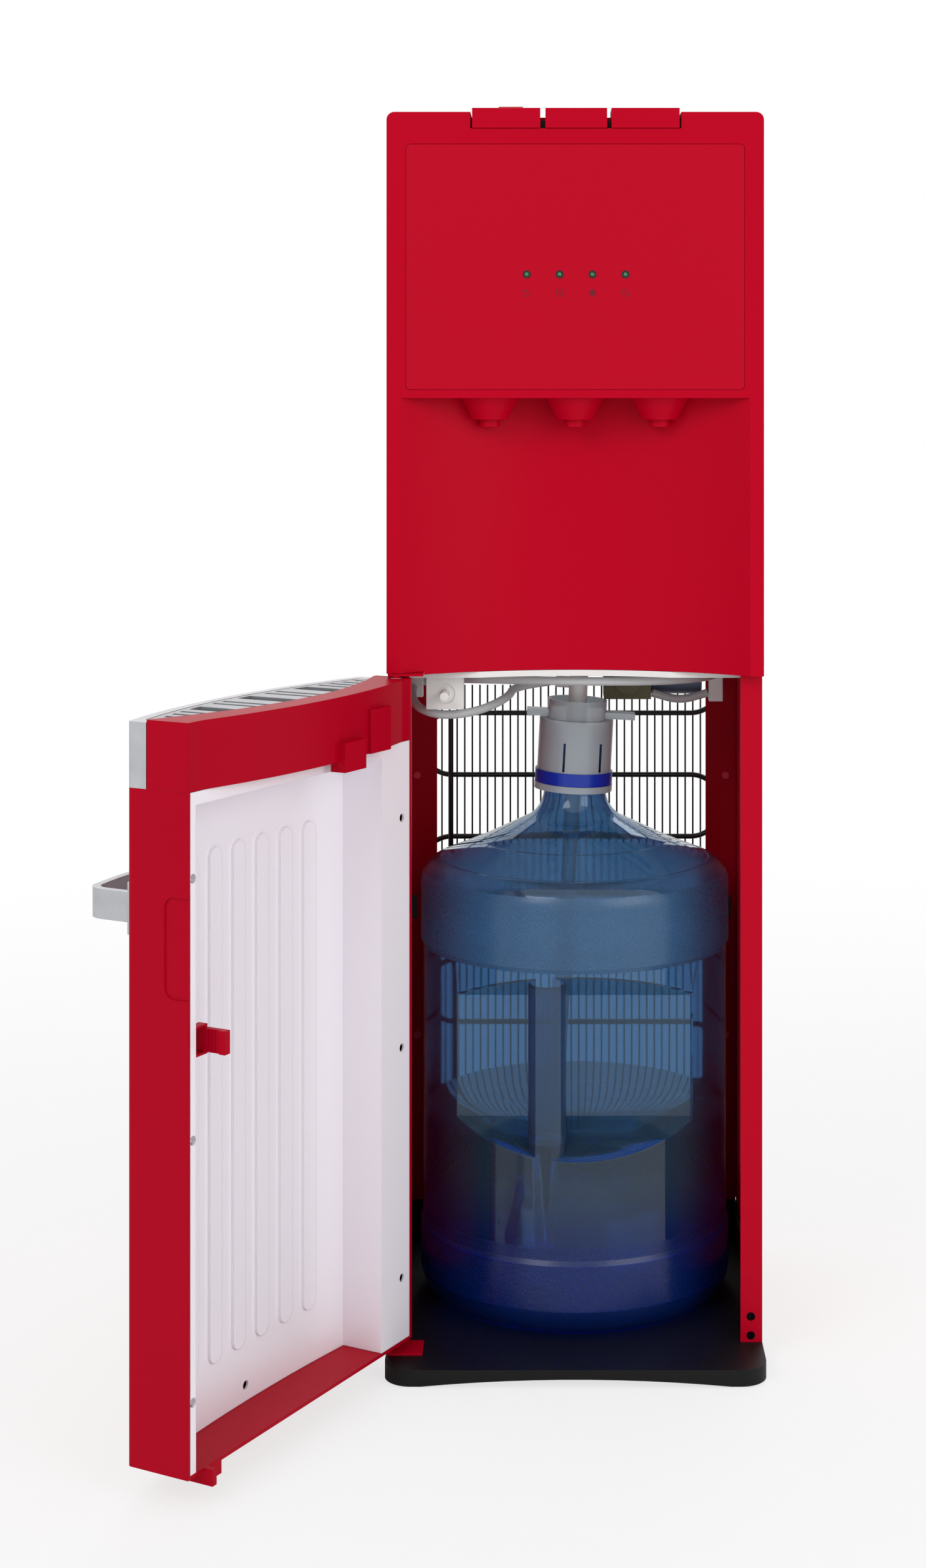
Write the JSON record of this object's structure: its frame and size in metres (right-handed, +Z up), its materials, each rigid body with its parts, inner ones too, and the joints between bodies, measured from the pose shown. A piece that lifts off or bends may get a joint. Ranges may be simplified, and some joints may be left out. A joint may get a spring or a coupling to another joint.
{
  "type": "bottom load water cooler",
  "caption": "Free-standing bottom load water dispenser in red, its curved lower door open on a blue carboy with a dip tube probe, and press bars above a cove",
  "frame": {"origin": "the middle of the base on the floor, under the cabinet", "axes": "+Z up, the front looks along -Y, +X is to the right when seen from the front"},
  "size_m": [0.514, 0.5721, 1.0358],
  "materials": {
    "base_tray": "textured black plastic",
    "base_feet": "rubber",
    "left_side_panel": "red enamel on sheet steel",
    "right_side_panel": "red enamel on sheet steel",
    "rear_panel": "red enamel on sheet steel",
    "upper_rear_cover": "black enamel on sheet steel",
    "panel_screws": "plated steel",
    "hot_power_switch": "gloss plastic",
    "cold_power_switch": "gloss plastic",
    "drain_fitting": "moulded plastic",
    "drain_cap": "moulded plastic",
    "power_inlet": "moulded plastic",
    "front_housing": "gloss red plastic",
    "control_panel": "gloss red plastic",
    "indicator_bezels": "gloss plastic",
    "status_lenses": "clear plastic",
    "hot_spout": "gloss red plastic",
    "room_spout": "gloss red plastic",
    "cold_spout": "gloss red plastic",
    "dispense_valves": "moulded plastic",
    "hot_button": "gloss red plastic",
    "room_button": "gloss red plastic",
    "cold_button": "gloss red plastic",
    "button_frame": "moulded plastic",
    "child_lock_tab": "gloss red plastic",
    "top_cover": "gloss red plastic",
    "lower_hinge": "red enamel on steel",
    "upper_hinge": "red enamel on steel",
    "mid_shelf": "white plastic",
    "switch_housing": "white plastic",
    "switch_pin": "white plastic",
    "water_pump": "moulded plastic",
    "pump_motor": "painted steel",
    "hose_fittings": "white plastic",
    "pump_hose": "silicone",
    "supply_hose": "silicone",
    "probe_hose": "silicone",
    "condenser_coil": "black enamel on steel tube",
    "condenser_wires": "black enamel on steel wire",
    "condenser_posts": "black enamel on steel",
    "riser_pipe": "black enamelled steel tube",
    "compressor": "black enamel on steel",
    "cold_tank": "foam cased steel tank",
    "hot_tank": "stainless steel",
    "tank_shelf": "galvanised steel",
    "bottle": "clear blue plastic",
    "probe_cap": "clear grey plastic",
    "probe_ring": "blue plastic",
    "pickup_tube": "clear plastic",
    "probe_pipe": "white plastic",
    "door_shell": "gloss red plastic",
    "door_cap": "gloss red plastic",
    "door_fascia": "silver painted plastic",
    "door_liner": "white plastic",
    "hinge_bushes": "acetal",
    "door_handle": "silver painted plastic",
    "latch_hook": "gloss red plastic",
    "latch_mount": "gloss red plastic",
    "drip_tray": "moulded plastic",
    "drip_grille": "silver painted plastic"
  },
  "bodies": {
    "cabinet": {"base_tray": "base_tray", "base_feet": "base_feet", "left_side_panel": "left_side_panel", "right_side_panel": "right_side_panel", "rear_panel": "rear_panel", "upper_rear_cover": "upper_rear_cover", "panel_screws": "panel_screws", "drain_fitting": "drain_fitting", "power_inlet": "power_inlet", "front_housing": "front_housing", "control_panel": "control_panel", "indicator_bezels": "indicator_bezels", "status_lenses": "status_lenses", "hot_spout": "hot_spout", "room_spout": "room_spout", "cold_spout": "cold_spout", "dispense_valves": "dispense_valves", "button_frame": "button_frame", "top_cover": "top_cover", "lower_hinge": "lower_hinge", "upper_hinge": "upper_hinge", "mid_shelf": "mid_shelf", "switch_housing": "switch_housing", "water_pump": "water_pump", "pump_motor": "pump_motor", "hose_fittings": "hose_fittings", "pump_hose": "pump_hose", "supply_hose": "supply_hose", "probe_hose": "probe_hose", "condenser_coil": "condenser_coil", "condenser_wires": "condenser_wires", "condenser_posts": "condenser_posts", "riser_pipe": "riser_pipe", "compressor": "compressor", "cold_tank": "cold_tank", "hot_tank": "hot_tank", "tank_shelf": "tank_shelf"},
    "hot_button_body": {"hot_button": "hot_button"},
    "room_button_body": {"room_button": "room_button"},
    "cold_button_body": {"cold_button": "cold_button"},
    "child_lock_body": {"child_lock_tab": "child_lock_tab"},
    "hot_switch_body": {"hot_power_switch": "hot_power_switch"},
    "cold_switch_body": {"cold_power_switch": "cold_power_switch"},
    "drain_cap_body": {"drain_cap": "drain_cap"},
    "switch_pin_body": {"switch_pin": "switch_pin"},
    "bottle_body": {"bottle": "bottle"},
    "probe_body": {"probe_cap": "probe_cap", "probe_ring": "probe_ring", "pickup_tube": "pickup_tube", "probe_pipe": "probe_pipe"},
    "door_body": {"door_shell": "door_shell", "door_cap": "door_cap", "door_fascia": "door_fascia", "door_liner": "door_liner", "hinge_bushes": "hinge_bushes", "door_handle": "door_handle", "latch_mount": "latch_mount"},
    "latch_body": {"latch_hook": "latch_hook"},
    "tray_body": {"drip_tray": "drip_tray"},
    "grille_body": {"drip_grille": "drip_grille"}
  },
  "joints": [
    {"name": "door_hinge", "type": "hinge", "parent": "cabinet", "child": "door_body", "pos_m": [-0.147, -0.126, 0.3], "axis": [0, 0, -1], "range_deg": [-118.5, 0]},
    {"name": "hot_press", "type": "hinge", "parent": "cabinet", "child": "hot_button_body", "pos_m": [0, -0.1219, 1.0151], "axis": [-1, 0, 0], "range_deg": [0, 5], "stiffness_Nm_per_rad": 0.3, "springref_deg": -6.88},
    {"name": "room_press", "type": "hinge", "parent": "cabinet", "child": "room_button_body", "pos_m": [0, -0.1219, 1.0151], "axis": [-1, 0, 0], "range_deg": [0, 5], "stiffness_Nm_per_rad": 0.3, "springref_deg": -6.88},
    {"name": "cold_press", "type": "hinge", "parent": "cabinet", "child": "cold_button_body", "pos_m": [0, -0.1219, 1.0151], "axis": [-1, 0, 0], "range_deg": [0, 5], "stiffness_Nm_per_rad": 0.3, "springref_deg": -6.88},
    {"name": "child_lock_slide", "type": "slide", "parent": "hot_button_body", "child": "child_lock_body", "axis": [0, 1, 0], "range_m": [0, 0.006]},
    {"name": "hot_switch_rock", "type": "hinge", "parent": "cabinet", "child": "hot_switch_body", "pos_m": [0.088, 0.158, 0.64], "axis": [1, 0, 0], "range_deg": [0, 16]},
    {"name": "cold_switch_rock", "type": "hinge", "parent": "cabinet", "child": "cold_switch_body", "pos_m": [0.112, 0.158, 0.64], "axis": [1, 0, 0], "range_deg": [0, 16]},
    {"name": "drain_cap_turn", "type": "hinge", "parent": "cabinet", "child": "drain_cap_body", "pos_m": [-0.1, 0.165, 0.64], "axis": [0, 1, 0], "range_deg": [0, 360]},
    {"name": "switch_pin_press", "type": "slide", "parent": "cabinet", "child": "switch_pin_body", "axis": [0, 1, 0], "range_m": [0, 0.005], "stiffness_N_per_m": 200, "springref_m": -0.004},
    {"name": "bottle_slide", "type": "slide", "parent": "cabinet", "child": "bottle_body", "axis": [0, -1, 0], "range_m": [0, 0.15]},
    {"name": "probe_lift", "type": "slide", "parent": "bottle_body", "child": "probe_body", "axis": [0, 0, 1], "range_m": [0, 0.0075]},
    {"name": "latch_spring", "type": "hinge", "parent": "door_body", "child": "latch_body", "pos_m": [-0.27464, -0.37303, 0.335], "axis": [0, 0, 1], "range_deg": [0, 6], "stiffness_Nm_per_rad": 0.05, "springref_deg": -11.46},
    {"name": "drip_tray_lift", "type": "slide", "parent": "door_body", "child": "tray_body", "axis": [0, 0, 1], "range_m": [0, 0.06]},
    {"name": "drip_grille_lift", "type": "slide", "parent": "tray_body", "child": "grille_body", "axis": [0, 0, 1], "range_m": [0, 0.04]}
  ]
}
